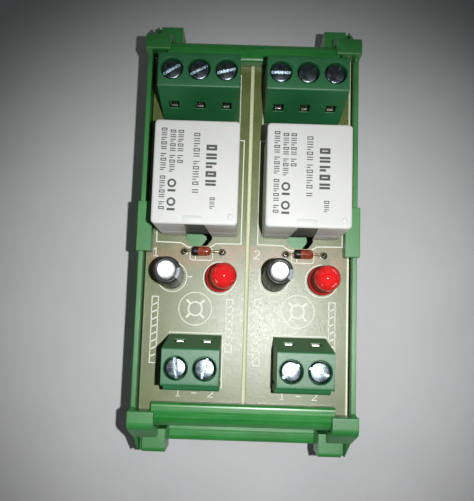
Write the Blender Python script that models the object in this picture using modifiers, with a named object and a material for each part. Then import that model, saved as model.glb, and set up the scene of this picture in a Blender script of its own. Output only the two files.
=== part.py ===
"""Two-channel relay interface module on a DIN-rail circuit-board carrier.

Frame: X runs across the two channels, Y from the coil side to the contact side, Z up from the
plane of the rail feet to the board and relays. The origin is the centre of the footprint.
Every size below is in millimetres and every outline is built in metres.
"""

from math import atan2, cos, pi, radians, sin, tan

import bmesh
import bpy
from mathutils import Matrix, Vector

MM = 0.001
GAP = 0.3  # clearance between pieces that touch on the real module

# Circuit board: two equal channel boards side by side, parted by a V-score.
PITCH = 20.32
BOARD_LENGTH, BOARD_THICK = 72.0, 1.6
BOARD_TOP = 31.0
BOARD_BOTTOM = BOARD_TOP - BOARD_THICK
CHANNELS = {"1": -PITCH / 2, "2": PITCH / 2}
SCORE_WIDTH, SCORE_DEPTH = 0.8, 0.45
PIN_BELOW_BOARD = 1.7

# Extruded carrier profile.
PROFILE_LENGTH = 35.2
PROFILE_BOTTOM = 13.4
LIP_INNER, LIP_OUTER, LIP_TOP = 34.3, 39.0, BOARD_TOP + 2.8
FLANGE_OUTER, FLANGE_TOP = 44.0, 18.7
WALL = 1.8

# End covers.
COVER_IN, COVER_OUT = PITCH + GAP, 21.5
COVER_TOP = BOARD_TOP + 2.5
BLOCK_IN, BLOCK_OUT, BLOCK_TOP = 16.9, 21.9, BOARD_TOP + 3.9
LEDGE_IN, LEDGE_OUT, LEDGE_TOP = 15.4, 20.0, BOARD_TOP - 4.6
COVER_END = 45.0
CORNER_END = 20.7  # half width that the slanted corners narrow to at the covers' ends
BLOCK_CREST, BLOCK_SLOPE_END = 39.1, 41.6  # where a block's top and its outer slope end
LUG_IN, LUG_OUT, LUG_TOP = 19.0, 21.85, BOARD_TOP + 3.5
LUG_SPAN = (-5.3, 4.5)
RIB_BOTTOM, WEB_BOTTOM = 20.0, 9.0
INSET = 0.15  # step between the side plate's outline and the blocks and foot joined to it

# Rail feet for a 35 mm top-hat rail with 1 mm lips.
FOOT_IN, FOOT_REACH = 14.6, 27.0
RAIL_PLANE, HOOK_TOP = 5.0, 3.6
RAIL_HALF, HOOK_REACH = 17.8, 15.8
LATCH_X = (15.8, 20.2)
LATCH_Z = (1.2, HOOK_TOP)
LATCH_END = 31.5
FOOT_RAISE = 0.05  # the side plates reach just below the foot blocks

# Screw terminals, in each housing's own frame: y runs out to the wire side from near the top
# face's back edge, z up from the board.
POLE_PITCH = 5.08
HOUSING_TOP, HOUSING_BACK, HOUSING_FACE, HOUSING_FRONT = 13.5, -2.93, 5.9, 7.1
HOUSING_CREST = -0.7  # back edge of the top face
SCREW_Y = 2.77
SCREW_HEAD_R, SCREW_HEAD_TOP, SCREW_HEAD_BOTTOM = 1.85, 12.9, 11.3
SCREW_R, SCREW_END = 1.2, 6.35
WELL_FLOOR, CELL_TOP = 11.0, 10.5
CAGE_X, CAGE_Y, CAGE_Z = 1.85, (0.75, 4.8), (1.2, 7.3)
MOUTH_X, MOUTH_Z, WINDOW_Z = 1.8, (1.6, 5.5), (5.6, 8.2)
BAR_Z = (5.2, 6.0)
BAR_PIN_Y = -0.15

# Where the terminals stand, and how far each screw's slot is turned from the X axis, in degrees.
OUTPUT_Y, COIL_Y, COIL_TERMINAL_SHIFT = 25.0, -24.2, 0.5
OUTPUT_SLOT_TURNS = {"1": (32, 28, 15), "2": (0, 38, 55)}
COIL_SLOT_TURNS = {"1": (97, 75), "2": (40, -20)}

# Relays, in each relay's own frame: y to the contact end, z up from the board.
RELAY_SHIFT, RELAY_Y = 0.3, 7.8
RELAY_SIZE = (15.4, 19.0)
RELAY_TOP, RELAY_WALL = 15.3, 0.8
COIL_PIN, COMMON_PIN_Y, CONTACT_PIN = (6.0, -4.1), -6.1, (6.0, 6.1)
CORE_Y, CORE_R = -0.7, 1.7
HINGE_Z = 12.5
NC_ARM_Z, NC_BUTTON_Z = (13.6, 14.1), (13.25, 13.8)
NO_ARM_Z, NO_BUTTON_Z = (10.6, 11.1), (10.9, 11.5)

# Small parts: offset from the channel's middle line, and Y.
CAPACITOR = (-4.74, -10.0)
LED = (4.75, -10.0)
DIODE = (1.27, -4.85)
LEAD_R = 0.26
# Lean of each channel's capacitor and LED on their leads, about X and Y, in degrees.
LEANS = {"1": ((-2, 1), (0, 9)), "2": ((-4, 2), (-1, 2))}

PARTS = "relay_module"
CUTTERS = "cutters"


# ---------------------------------------------------------------- scene and materials

def clear_scene():
    for obj in list(bpy.data.objects):
        bpy.data.objects.remove(obj, do_unlink=True)
    for name in (PARTS, CUTTERS):
        collection = bpy.data.collections.new(name)
        bpy.context.scene.collection.children.link(collection)


def material(name, colour, roughness, metallic=0.0):
    mat = bpy.data.materials.new(name)
    mat.use_nodes = True
    shader = mat.node_tree.nodes["Principled BSDF"]
    shader.inputs["Base Color"].default_value = (*colour, 1.0)
    shader.inputs["Roughness"].default_value = roughness
    shader.inputs["Metallic"].default_value = metallic
    return mat


def make_materials():
    return {
        "carrier": material("carrier_green", (0.07, 0.30, 0.10), 0.45),
        "board": material("board_mask", (0.20, 0.24, 0.10), 0.40),
        "terminal": material("terminal_green", (0.08, 0.32, 0.16), 0.50),
        "steel": material("plated_steel", (0.62, 0.63, 0.65), 0.30, 1.0),
        "copper": material("tinned_copper", (0.72, 0.70, 0.66), 0.35, 1.0),
        "relay": material("relay_case", (0.82, 0.82, 0.80), 0.45),
        "base": material("relay_base", (0.55, 0.53, 0.48), 0.55),
        "winding": material("coil_winding", (0.55, 0.22, 0.08), 0.45),
        "contact": material("contact_silver", (0.80, 0.78, 0.72), 0.30, 1.0),
        "sleeve": material("capacitor_sleeve", (0.01, 0.01, 0.012), 0.30),
        "led": material("led_red", (0.80, 0.02, 0.02), 0.15),
        "diode": material("diode_glass", (0.65, 0.15, 0.05), 0.15),
    }


# ---------------------------------------------------------------- outlines

def rounded(corners, steps=4):
    """Closed outline through corners (a, b, radius), with each radius drawn as an arc."""
    points = []
    for i, (a, b, radius) in enumerate(corners):
        here = Vector((a, b))
        if not radius:
            points.append(here)
            continue
        back = (Vector(corners[i - 1][:2]) - here).normalized()
        ahead = (Vector(corners[(i + 1) % len(corners)][:2]) - here).normalized()
        half = back.angle(ahead) / 2
        centre = here + (back + ahead).normalized() * radius / sin(half)
        start = here + back * radius / tan(half) - centre
        turn = (pi - 2 * half) * (-1 if back.x * ahead.y - back.y * ahead.x > 0 else 1)
        first = atan2(start.y, start.x)
        for k in range(steps + 1):
            angle = first + turn * k / steps
            points.append(centre + radius * Vector((cos(angle), sin(angle))))
    return points


def both_sides(half):
    """Closed outline from its half at positive a, given as corners from top to bottom."""
    return half + [(-a, b, radius) for a, b, radius in reversed(half)]


# ---------------------------------------------------------------- solids

def add(obj, mat=None):
    if mat is not None:
        obj.data.materials.append(mat)
        bpy.data.collections[PARTS].objects.link(obj)
        return obj
    bpy.data.collections[CUTTERS].objects.link(obj)
    obj.hide_render = True
    obj.display_type = "WIRE"
    return obj


def mesh_object(name, bm, at, mat):
    """Object made of a bmesh in metres, with its origin at a point in millimetres."""
    bmesh.ops.recalc_face_normals(bm, faces=bm.faces[:])
    mesh = bpy.data.meshes.new(name)
    bm.to_mesh(mesh)
    bm.free()
    obj = bpy.data.objects.new(name, mesh)
    obj.location = Vector(at) * MM
    return add(obj, mat)


def boxes(name, corner_pairs, mat=None, at=(0, 0, 0)):
    """One mesh of boxes, each given by its lowest and highest corner."""
    bm = bmesh.new()
    for low, high in corner_pairs:
        middle = (Vector(low) + Vector(high)) / 2 * MM
        size = (Vector(high) - Vector(low)) * MM
        matrix = Matrix.Translation(middle) @ Matrix.Diagonal((*size, 1.0))
        bmesh.ops.create_cube(bm, size=1.0, matrix=matrix)
    return mesh_object(name, bm, at, mat)


def cylinders(name, posts, sides, mat=None, at=(0, 0, 0)):
    """One mesh of upright cylinders, each given as (x, y, radius, bottom, top)."""
    bm = bmesh.new()
    for x, y, radius, bottom, top in posts:
        matrix = Matrix.Translation(Vector((x, y, (bottom + top) / 2)) * MM)
        bmesh.ops.create_cone(bm, cap_ends=True, segments=sides, radius1=radius * MM,
                              radius2=radius * MM, depth=(top - bottom) * MM, matrix=matrix)
    return mesh_object(name, bm, at, mat)


def from_curve(curve_object, mat):
    """Mesh object in place of a curve object, with the loose caps welded on."""
    graph = bpy.context.evaluated_depsgraph_get()
    mesh = bpy.data.meshes.new_from_object(curve_object.evaluated_get(graph))
    bm = bmesh.new()
    bm.from_mesh(mesh)
    bmesh.ops.remove_doubles(bm, verts=bm.verts[:], dist=1e-6)
    bmesh.ops.dissolve_limit(bm, angle_limit=radians(1), verts=bm.verts[:], edges=bm.edges[:])
    bmesh.ops.recalc_face_normals(bm, faces=bm.faces[:])
    bm.to_mesh(mesh)
    bm.free()
    name = curve_object.name
    matrix = curve_object.matrix_world.copy()
    bpy.data.objects.remove(curve_object)
    obj = bpy.data.objects.new(name, mesh)
    obj.matrix_world = matrix
    return add(obj, mat)


def prism(name, outline, low, high, axis="X", mat=None, at=(0, 0, 0)):
    """Outline swept along an axis: (y, z) along X, (x, z) along Y or (x, y) along Z."""
    curve = bpy.data.curves.new(name, "CURVE")
    curve.dimensions = "2D"
    curve.fill_mode = "BOTH"
    curve.extrude = (high - low) / 2 * MM
    spline = curve.splines.new("POLY")
    spline.points.add(len(outline) - 1)
    for point, (a, b) in zip(spline.points, outline):
        point.co = (a * MM, b * MM, 0, 1)
    spline.use_cyclic_u = True
    middle = (low + high) / 2
    turn, shift = {
        "X": ((pi / 2, 0, pi / 2), (middle, 0, 0)),
        "Y": ((pi / 2, 0, 0), (0, middle, 0)),
        "Z": ((0, 0, 0), (0, 0, middle)),
    }[axis]
    obj = bpy.data.objects.new(name, curve)
    obj.rotation_euler = turn
    obj.location = (Vector(shift) + Vector(at)) * MM
    bpy.data.collections[CUTTERS].objects.link(obj)
    bpy.context.view_layer.update()
    return from_curve(obj, mat)


def wire(name, route, radius, mat=None, at=(0, 0, 0)):
    curve = bpy.data.curves.new(name, "CURVE")
    curve.dimensions = "3D"
    curve.bevel_depth = radius * MM
    curve.bevel_resolution = 1
    curve.use_fill_caps = True
    spline = curve.splines.new("POLY")
    spline.points.add(len(route) - 1)
    for point, place in zip(spline.points, route):
        point.co = (*(Vector(place) * MM), 1)
    obj = bpy.data.objects.new(name, curve)
    obj.location = Vector(at) * MM
    bpy.data.collections[CUTTERS].objects.link(obj)
    bpy.context.view_layer.update()
    return from_curve(obj, mat)


def turned(name, profile, steps, mat=None, at=(0, 0, 0), closed=False):
    """Solid of revolution about Z from (radius, z) points that run down its outer side."""
    bm = bmesh.new()
    verts = [bm.verts.new((radius * MM, 0, z * MM)) for radius, z in profile]
    for first, second in zip(verts, verts[1:] + verts[:1] if closed else verts[1:]):
        bm.edges.new((first, second))
    mesh = bpy.data.meshes.new(name)
    bm.to_mesh(mesh)
    bm.free()
    obj = bpy.data.objects.new(name, mesh)
    obj.location = Vector(at) * MM
    screw = obj.modifiers.new("turn", "SCREW")
    screw.steps = screw.render_steps = steps
    screw.use_merge_vertices = True
    screw.merge_threshold = 1e-6
    return add(obj, mat)


def combine(obj, operation, others):
    for other in others:
        boolean = obj.modifiers.new(f"{operation.lower()}_{other.name}"[:60], "BOOLEAN")
        boolean.operation = operation
        boolean.solver = "EXACT"
        boolean.object = other
    return obj


def unite(obj, *others):
    return combine(obj, "UNION", others)


def cut(obj, *others):
    return combine(obj, "DIFFERENCE", others)


# ---------------------------------------------------------------- carrier

def build_profile(mats):
    lip_side = BOARD_TOP + GAP
    groove = (37.0, 42.0)
    half = [
        (LIP_INNER, lip_side, 0),
        (LIP_INNER, LIP_TOP, 0.6),
        (LIP_OUTER, LIP_TOP - 0.3, 3.4),
        (LIP_OUTER, BOARD_BOTTOM - 2.4, 1.8),
        (36.9, BOARD_BOTTOM - 4.6, 0),
        (36.9, FLANGE_TOP + 0.4, 0),
        (40.7, FLANGE_TOP, 0),
        (41.6, FLANGE_TOP, 0),
        (41.7, FLANGE_TOP - 0.4, 0),
        (41.9, FLANGE_TOP - 0.2, 0),
        (FLANGE_OUTER, FLANGE_TOP - 0.4, 1.2),
        (FLANGE_OUTER, PROFILE_BOTTOM, 0),
        (groove[1], PROFILE_BOTTOM, 0),
        (groove[1], PROFILE_BOTTOM + 3.2, 0),
        (groove[0], PROFILE_BOTTOM + 3.2, 0),
        (groove[0], PROFILE_BOTTOM, 0),
    ]
    inside = [
        (-35.0, PROFILE_BOTTOM + WALL, 0),
        (-35.0, BOARD_BOTTOM - 2.0, 0),
        (-33.4, BOARD_BOTTOM - 1.6, 0),
        (-33.4, BOARD_BOTTOM - GAP, 0),
        (-BOARD_LENGTH / 2 - GAP, BOARD_BOTTOM - GAP, 0),
        (-BOARD_LENGTH / 2 - GAP, lip_side, 0),
    ]
    outline = both_sides(half) + list(reversed(inside)) + [(-a, b, r) for a, b, r in inside]
    prism("carrier_profile", rounded(outline), -PROFILE_LENGTH / 2, PROFILE_LENGTH / 2,
          mat=mats["carrier"])


def across(side, inner, outer):
    """X limits of something from inner to outer on one side of the module."""
    return sorted((side * inner, side * outer))


def build_end_cover(name, side, mats):
    """Side plate with wrapped corner blocks, board lug and rail foot."""
    block_edge = LIP_INNER + 1.6
    plate_half = [
        (35.3, COVER_TOP, 0),
        (block_edge + INSET, BLOCK_TOP - INSET, 0),
        (BLOCK_CREST - INSET, BLOCK_TOP - INSET, 1.6),
        (BLOCK_SLOPE_END - INSET, BOARD_TOP - 1.5 - INSET, 1.0),
        (COVER_END - INSET, LEDGE_TOP - INSET, 1.2),
        (COVER_END - INSET, PROFILE_BOTTOM - INSET, 1.0),
        (FOOT_REACH, PROFILE_BOTTOM - 5 * INSET, 2.0),
        (FOOT_REACH, 0, 0.8),
    ]
    low, high = across(side, COVER_IN, COVER_OUT)
    cover = prism(name, rounded(both_sides(plate_half)), low, high, mat=mats["carrier"])

    end = BOARD_LENGTH / 2 + GAP
    block = [
        (block_edge, BLOCK_TOP, 0.3),
        (BLOCK_CREST, BLOCK_TOP, 1.6),
        (BLOCK_SLOPE_END, BOARD_TOP - 1.5, 1.0),
        (BLOCK_SLOPE_END, PROFILE_BOTTOM, 0),
        (end, PROFILE_BOTTOM, 0),
        (end, BOARD_TOP + GAP, 0),
        (block_edge, BOARD_TOP + GAP, 0),
    ]
    past_profile = PROFILE_LENGTH / 2 + GAP
    flange_clear = FLANGE_TOP + GAP
    for tag, way in (("contact", 1), ("coil", -1)):
        shape = [(way * a, b, r) for a, b, r in block]
        low, high = across(side, BLOCK_IN, BLOCK_OUT)
        upper = prism(f"{name}_{tag}_block", rounded(shape), low, high)
        ledge = [
            (way * (BLOCK_SLOPE_END - 1.2), LEDGE_TOP, 0),
            (way * COVER_END, LEDGE_TOP, 0.8),
            (way * COVER_END, flange_clear, 0),
            (way * (BLOCK_SLOPE_END - 1.2), flange_clear, 0),
        ]
        low, high = across(side, LEDGE_IN, LEDGE_OUT)
        step = prism(f"{name}_{tag}_ledge", rounded(ledge), low, high)
        low, high = across(side, past_profile, COVER_IN + 0.4)
        y_low, y_high = sorted((way * (BLOCK_SLOPE_END - 0.9), way * (COVER_END - INSET / 2)))
        heel = boxes(f"{name}_{tag}_heel", [((low, y_low, PROFILE_BOTTOM + INSET),
                                             (high, y_high, LEDGE_TOP - 2))])
        unite(cover, upper, step, heel)

    low, high = across(side, past_profile + INSET, COVER_IN + 0.3)
    sill = boxes(f"{name}_sill", [((low, -end - 0.5, PROFILE_BOTTOM + 2 * INSET),
                                   (high, end + 0.5, PROFILE_BOTTOM + WALL))])
    low, high = across(side, LUG_IN, LUG_OUT)
    lug = boxes(f"{name}_lug", [((low, LUG_SPAN[0], BOARD_TOP + GAP),
                                 (high, LUG_SPAN[1], LUG_TOP))])
    low, high = across(side, COVER_OUT - 0.4, LUG_OUT - INSET / 2)
    rib = boxes(f"{name}_lug_rib", [((low, LUG_SPAN[0] + INSET, RIB_BOTTOM),
                                     (high, LUG_SPAN[1] - INSET, LUG_TOP - 0.5))])
    low, high = across(side, FOOT_IN, COVER_OUT - 2 * INSET)
    foot = boxes(f"{name}_foot", [((low, -FOOT_REACH + 0.4, FOOT_RAISE),
                                   (high, FOOT_REACH - 0.4, PROFILE_BOTTOM - GAP))])
    low, high = across(side, past_profile + 2 * INSET, COVER_OUT - 3 * INSET)
    web = boxes(f"{name}_foot_web", [((low, -FOOT_REACH + 2, WEB_BOTTOM),
                                      (high, FOOT_REACH - 2, PROFILE_BOTTOM + 1))])
    unite(cover, sill, lug, rib, foot, web)

    # The lip, recess and flange of the profile, grown by the gap, stay clear of the blocks.
    clear_half = [
        (LIP_INNER - 1, LIP_TOP + GAP, 0),
        (LIP_OUTER + GAP, LIP_TOP, 3.6),
        (LIP_OUTER + GAP, FLANGE_TOP + GAP, 0),
        (COVER_END + 1, flange_clear, 0),
        (COVER_END + 1, PROFILE_BOTTOM - GAP, 0),
    ]
    low, high = across(side, LEDGE_IN - 1, past_profile)
    clearance = prism(f"{name}_profile_gap", rounded(both_sides(clear_half)), low, high)
    low, high = across(side, 0, BLOCK_OUT + 5)
    hooks = boxes(f"{name}_rail_gap", [((low, -RAIL_HALF, HOOK_TOP),
                                        (high, RAIL_HALF, RAIL_PLANE))])
    mouth = boxes(f"{name}_rail_mouth", [((low, -HOOK_REACH, -1),
                                          (high, RAIL_HALF, HOOK_TOP + 0.5))])
    low, high = across(side, LATCH_X[0] - GAP, LATCH_X[1] + GAP)
    guide = boxes(f"{name}_latch_guide", [((low, RAIL_HALF - 1, LATCH_Z[0] - GAP),
                                           (high, FOOT_REACH + 1, LATCH_Z[1] + GAP))])
    chamfers = []
    slope = atan2(BLOCK_OUT - CORNER_END, COVER_END - LIP_OUTER)
    for tag, way in (("contact", 1), ("coil", -1)):
        wedge = boxes(f"{name}_{tag}_chamfer", [((0, -9, 5), (6, 9, 50))])
        wedge.location = Vector((side * BLOCK_OUT, way * LIP_OUTER, 0)) * MM
        wedge.rotation_euler.z = (slope if side * way > 0 else -slope) + (pi if side < 0 else 0)
        chamfers.append(wedge)
    cut(cover, clearance, hooks, mouth, guide, *chamfers)


def build_latch(name, side, mats):
    """Sliding hook that holds the rail's free lip, with a pull slot at its outer end."""
    low, high = across(side, *LATCH_X)
    middle = (low + high) / 2
    latch = boxes(name, [((low, HOOK_REACH, LATCH_Z[0]), (high, LATCH_END, LATCH_Z[1]))],
                  mats["carrier"])
    slot = boxes(f"{name}_slot", [((middle - 1.2, FOOT_REACH + 1.2, 0),
                                   (middle + 1.2, LATCH_END - 1.2, 5))])
    cut(latch, slot)


# ---------------------------------------------------------------- circuit board

def relay_places():
    return {key: (x + RELAY_SHIFT, RELAY_Y) for key, x in CHANNELS.items()}


def build_board(mats, holes, slots):
    """Board with its V-score, the plated holes (x, y, half width) and the isolation cut-outs."""
    board = boxes("circuit_board", [((-PITCH, -BOARD_LENGTH / 2, BOARD_BOTTOM),
                                     (PITCH, BOARD_LENGTH / 2, BOARD_TOP))], mats["board"])
    half, past = SCORE_WIDTH / 2, 0.5
    grow = half * (1 + past / SCORE_DEPTH)
    score_top = prism("board_score_top", [(-grow, BOARD_TOP + past), (grow, BOARD_TOP + past),
                                          (0, BOARD_TOP - SCORE_DEPTH)],
                      -BOARD_LENGTH, BOARD_LENGTH, "Y")
    score_low = prism("board_score_low", [(-grow, BOARD_BOTTOM - past), (grow, BOARD_BOTTOM - past),
                                          (0, BOARD_BOTTOM + SCORE_DEPTH)],
                      -BOARD_LENGTH, BOARD_LENGTH, "Y")
    posts = [(x, y, reach / cos(pi / 6), BOARD_BOTTOM - 1, BOARD_TOP + 1) for x, y, reach in holes]
    cut(board, score_top, score_low, cylinders("board_holes", posts, 6), *slots)


def isolation_slot(key, place):
    """Milled cut-out under the relay's coil end, between its common pin and the low-voltage side."""
    x, y = place
    face = y - RELAY_SIZE[1] / 2
    outline = rounded([
        (x - 2.65, face + 1.2, 0),
        (x - 2.65, face - 0.5, 0),
        (x - 1.6, face - 1.9, 0.6),
        (x + 1.6, face - 1.9, 0.6),
        (x + 2.65, face - 0.5, 0),
        (x + 2.65, face + 1.2, 0),
    ], steps=2)
    return prism(f"board_slot_{key}", outline, BOARD_BOTTOM - 1, BOARD_TOP + 1, "Z")


# ---------------------------------------------------------------- screw terminals

def pole_offsets(poles):
    return [(k - (poles - 1) / 2) * POLE_PITCH for k in range(poles)]


def build_terminal(name, poles, place, way, slot_turns, mats):
    """Housing, clamp screws, cages and contact bars. Way is +1 where the wires enter from +Y."""
    x0, y0 = place
    half = poles * POLE_PITCH / 2
    turn = 0 if way > 0 else pi
    outline = [
        (HOUSING_FACE, HOUSING_TOP, 0.4),
        (HOUSING_FACE + 0.15, 9.2, 0),
        (HOUSING_FRONT, 8.6, 0.3),
        (HOUSING_FRONT, GAP, 0),
        (HOUSING_BACK, GAP, 0),
        (HOUSING_BACK, 1.3, 0),
        (HOUSING_CREST, HOUSING_TOP, 0.3),
    ]
    housing = prism(name, rounded(outline, 2), -half, half, mat=mats["terminal"])
    xs = pole_offsets(poles)
    wells = cylinders(f"{name}_wells",
                      [(x, SCREW_Y, SCREW_HEAD_R + GAP, WELL_FLOOR, 15) for x in xs], 16)
    bores = cylinders(f"{name}_bores", [(x, SCREW_Y, SCREW_R + GAP, 10, 12) for x in xs], 12)
    room = CAGE_X + GAP
    cells = boxes(f"{name}_cells", [((x - room, CAGE_Y[0] - GAP, CAGE_Z[0] - GAP),
                                     (x + room, CAGE_Y[1] + GAP, CELL_TOP)) for x in xs])
    mouths = boxes(f"{name}_mouths", [((x - MOUTH_X, CAGE_Y[1], MOUTH_Z[0]),
                                       (x + MOUTH_X, 9, MOUTH_Z[1])) for x in xs])
    windows = boxes(f"{name}_windows", [((x - 1.0, -6, WINDOW_Z[0]), (x + 1.0, 1, WINDOW_Z[1]))
                                        for x in xs])
    slits = boxes(f"{name}_slits", [((x - 1.5, BAR_PIN_Y - 0.8, 0), (x + 1.5, 1, BAR_Z[1] + GAP))
                                    for x in xs])
    cut(housing, wells, bores, cells, mouths, windows, slits)
    for part in (housing, wells, bores, cells, mouths, windows, slits):
        matrix = Matrix.Translation(Vector((x0, y0, BOARD_TOP)) * MM) @ Matrix.Rotation(turn, 4, "Z")
        part.matrix_world = matrix @ part.matrix_world

    holes = []
    for x, slot_turn, letter in zip(xs, slot_turns, "abc"):
        key = f"{name.replace('_terminal', '')}{letter}"
        x_world, y_axis = x0 + x, y0 + way * SCREW_Y
        axis = (x_world, y_axis, BOARD_TOP)
        build_screw(f"clamp_screw_{key}", axis, slot_turn, mats)
        build_cage(f"clamp_cage_{key}", axis, turn, mats)
        build_bar(f"contact_bar_{key}", axis, turn, mats)
        holes.append((x_world, y0 + way * BAR_PIN_Y, 0.85))
    return holes


def build_screw(name, place, slot_turn, mats):
    """Captive clamp screw: slotted head and plain shank, with its origin on the turning axis."""
    chamfer = 0.2
    profile = [
        (0, SCREW_HEAD_TOP),
        (SCREW_HEAD_R - chamfer, SCREW_HEAD_TOP),
        (SCREW_HEAD_R, SCREW_HEAD_TOP - chamfer),
        (SCREW_HEAD_R, SCREW_HEAD_BOTTOM),
        (SCREW_R, SCREW_HEAD_BOTTOM),
        (SCREW_R, SCREW_END),
        (0, SCREW_END),
    ]
    screw = turned(name, profile, 16, mats["steel"], at=place)
    screw.rotation_euler.z = radians(slot_turn)
    slot = boxes(f"{name}_slot", [((-3, -0.28, SCREW_HEAD_TOP - 0.8), (3, 0.28, SCREW_HEAD_TOP + 1))],
                 at=place)
    slot.rotation_euler.z = radians(slot_turn)
    return cut(screw, slot)


def build_cage(name, place, turn, mats):
    """Rising cage: a box open to the wire side, threaded on the screw at its top wall."""
    y_low, y_high = (y - SCREW_Y for y in CAGE_Y)
    cage = boxes(name, [((-CAGE_X, y_low, CAGE_Z[0]), (CAGE_X, y_high, CAGE_Z[1]))],
                 mats["steel"], at=place)
    room = boxes(f"{name}_room", [((-CAGE_X + 0.45, y_low - 1, CAGE_Z[0] + 0.7),
                                   (CAGE_X - 0.45, y_high + 1, CAGE_Z[1] - 0.9))], at=place)
    bore = cylinders(f"{name}_bore", [(0, 0, SCREW_R + GAP, CAGE_Z[1] - 2, CAGE_Z[1] + 1)], 12,
                     at=place)
    for part in (cage, room, bore):
        part.rotation_euler.z = turn
    cut(cage, room, bore)


def build_bar(name, place, turn, mats):
    """Contact bar that the cage clamps the wire against, with its solder pin through the board."""
    pin_y = BAR_PIN_Y - SCREW_Y
    tongue_end = CAGE_Y[1] - SCREW_Y - 0.2
    bar = boxes(name, [((-1.1, pin_y - 0.5, BAR_Z[0]), (1.1, tongue_end, BAR_Z[1]))],
                mats["copper"], at=place)
    pin = boxes(f"{name}_pin", [((-0.5, pin_y - 0.5, -BOARD_THICK - PIN_BELOW_BOARD),
                                 (0.5, pin_y + 0.35, BAR_Z[0] + 0.4))], at=place)
    for part in (bar, pin):
        part.rotation_euler.z = turn
    unite(bar, pin)


# ---------------------------------------------------------------- relays

def build_relay(key, place, mats):
    """Case, base and mechanism. Returns the holes for its five pins."""
    x0, y0 = place
    at = (x0, y0, BOARD_TOP)
    pin_end = -BOARD_THICK - PIN_BELOW_BOARD
    half_x, half_y = RELAY_SIZE[0] / 2, RELAY_SIZE[1] / 2
    inner_x, inner_y = half_x - RELAY_WALL, half_y - RELAY_WALL

    cover = boxes(f"relay_cover_{key}", [((-half_x, -half_y, GAP), (half_x, half_y, RELAY_TOP))],
                  mats["relay"], at=at)
    room = boxes(f"relay_{key}_room", [((-inner_x, -inner_y, -1),
                                        (inner_x, inner_y, RELAY_TOP - RELAY_WALL))], at=at)
    groove = prism(f"relay_{key}_groove", [(-2.6, -1), (2.6, -1), (1.75, RELAY_TOP - 0.5),
                                           (-1.75, RELAY_TOP - 0.5)],
                   -half_y - 1, -half_y + 0.4, "Y", at=at)
    cut(cover, room, groove)

    fit_x, fit_y = inner_x - GAP, inner_y - GAP
    base = boxes(f"relay_base_{key}", [((-fit_x, -fit_y, GAP), (fit_x, fit_y, 2.0))],
                 mats["base"], at=at)
    pins = [(-COIL_PIN[0], COIL_PIN[1]), COIL_PIN, (0, COMMON_PIN_Y),
            (-CONTACT_PIN[0], CONTACT_PIN[1]), CONTACT_PIN]
    pin_holes = cylinders(f"relay_{key}_base_holes", [(x, y, 0.85, -1, 4) for x, y in pins], 8, at=at)
    cut(base, pin_holes)

    build_coil(key, at, pin_end, mats)
    build_yoke(key, at, pin_end, mats)
    build_armature(key, at, mats)
    build_fixed_contact(f"contact_nc_{key}", -1, NC_ARM_Z, NC_BUTTON_Z, at, pin_end, mats)
    build_fixed_contact(f"contact_no_{key}", 1, NO_ARM_Z, NO_BUTTON_Z, at, pin_end, mats)
    return [(x0 + x, y0 + y, 0.7) for x, y in pins]


def build_coil(key, at, pin_end, mats):
    """Bobbin with its winding, and two pins on ears at the coil end."""
    bore = CORE_R + GAP
    profile = [
        (bore, 11.4), (4.4, 11.4), (4.4, 10.7), (4.0, 10.7),
        (4.0, 4.6), (4.4, 4.6), (4.4, 3.8), (bore, 3.8),
    ]
    x0, y0, z0 = at
    coil = turned(f"relay_coil_{key}", profile, 16, mats["winding"], at=(x0, y0 + CORE_Y, z0),
                  closed=True)
    x, y = COIL_PIN
    ears = boxes(f"relay_{key}_coil_ears", [((-x - 0.5, y - 0.5, 3.85), (-2.6, y + 0.7, 4.5)),
                                            ((2.6, y - 0.5, 3.85), (x + 0.5, y + 0.7, 4.5))], at=at)
    legs = boxes(f"relay_{key}_coil_pins", [((s * x - 0.35, y - 0.35, pin_end),
                                             (s * x + 0.35, y + 0.35, 4.2)) for s in (-1, 1)], at=at)
    unite(coil, ears, legs)


def build_yoke(key, at, pin_end, mats):
    """L-shaped yoke with the core riveted to it and the common pin below its leg."""
    y_leg = (COMMON_PIN_Y - 0.6, COMMON_PIN_Y + 0.6)
    yoke = boxes(f"relay_yoke_{key}", [((-4, y_leg[0], 2.3), (4, 3.2, 3.5))], mats["steel"],
                 at=at)
    leg = boxes(f"relay_{key}_leg", [((-4, y_leg[0], 2.31), (4, y_leg[1], HINGE_Z - 0.3))], at=at)
    core = cylinders(f"relay_{key}_core", [(0, CORE_Y, CORE_R, 3.0, 11.7)], 12, at=at)
    pin = boxes(f"relay_{key}_common_pin", [((-0.4, COMMON_PIN_Y - 0.35, pin_end),
                                             (0.4, COMMON_PIN_Y + 0.35, 2.6))], at=at)
    unite(yoke, leg, core, pin)


def build_armature(key, at, mats):
    """Armature plate and contact blade. Its origin is on the hinge edge at the top of the yoke."""
    x0, y0, z0 = at
    origin = (x0, y0 + COMMON_PIN_Y, z0 + HINGE_Z)
    reach = CONTACT_PIN[1] - COMMON_PIN_Y
    plate = boxes(f"relay_armature_{key}", [((-3.8, -0.4, 0), (3.8, 8.0, 0.5))], mats["steel"],
                  at=origin)
    blade = boxes(f"relay_{key}_blade", [((-1.5, 7.0, 0.1), (1.5, reach + 0.9, 0.4))], at=origin)
    button = cylinders(f"relay_{key}_button", [(0, reach, 0.9, -0.1, 0.6)], 10, at=origin)
    unite(plate, blade, button)


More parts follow.
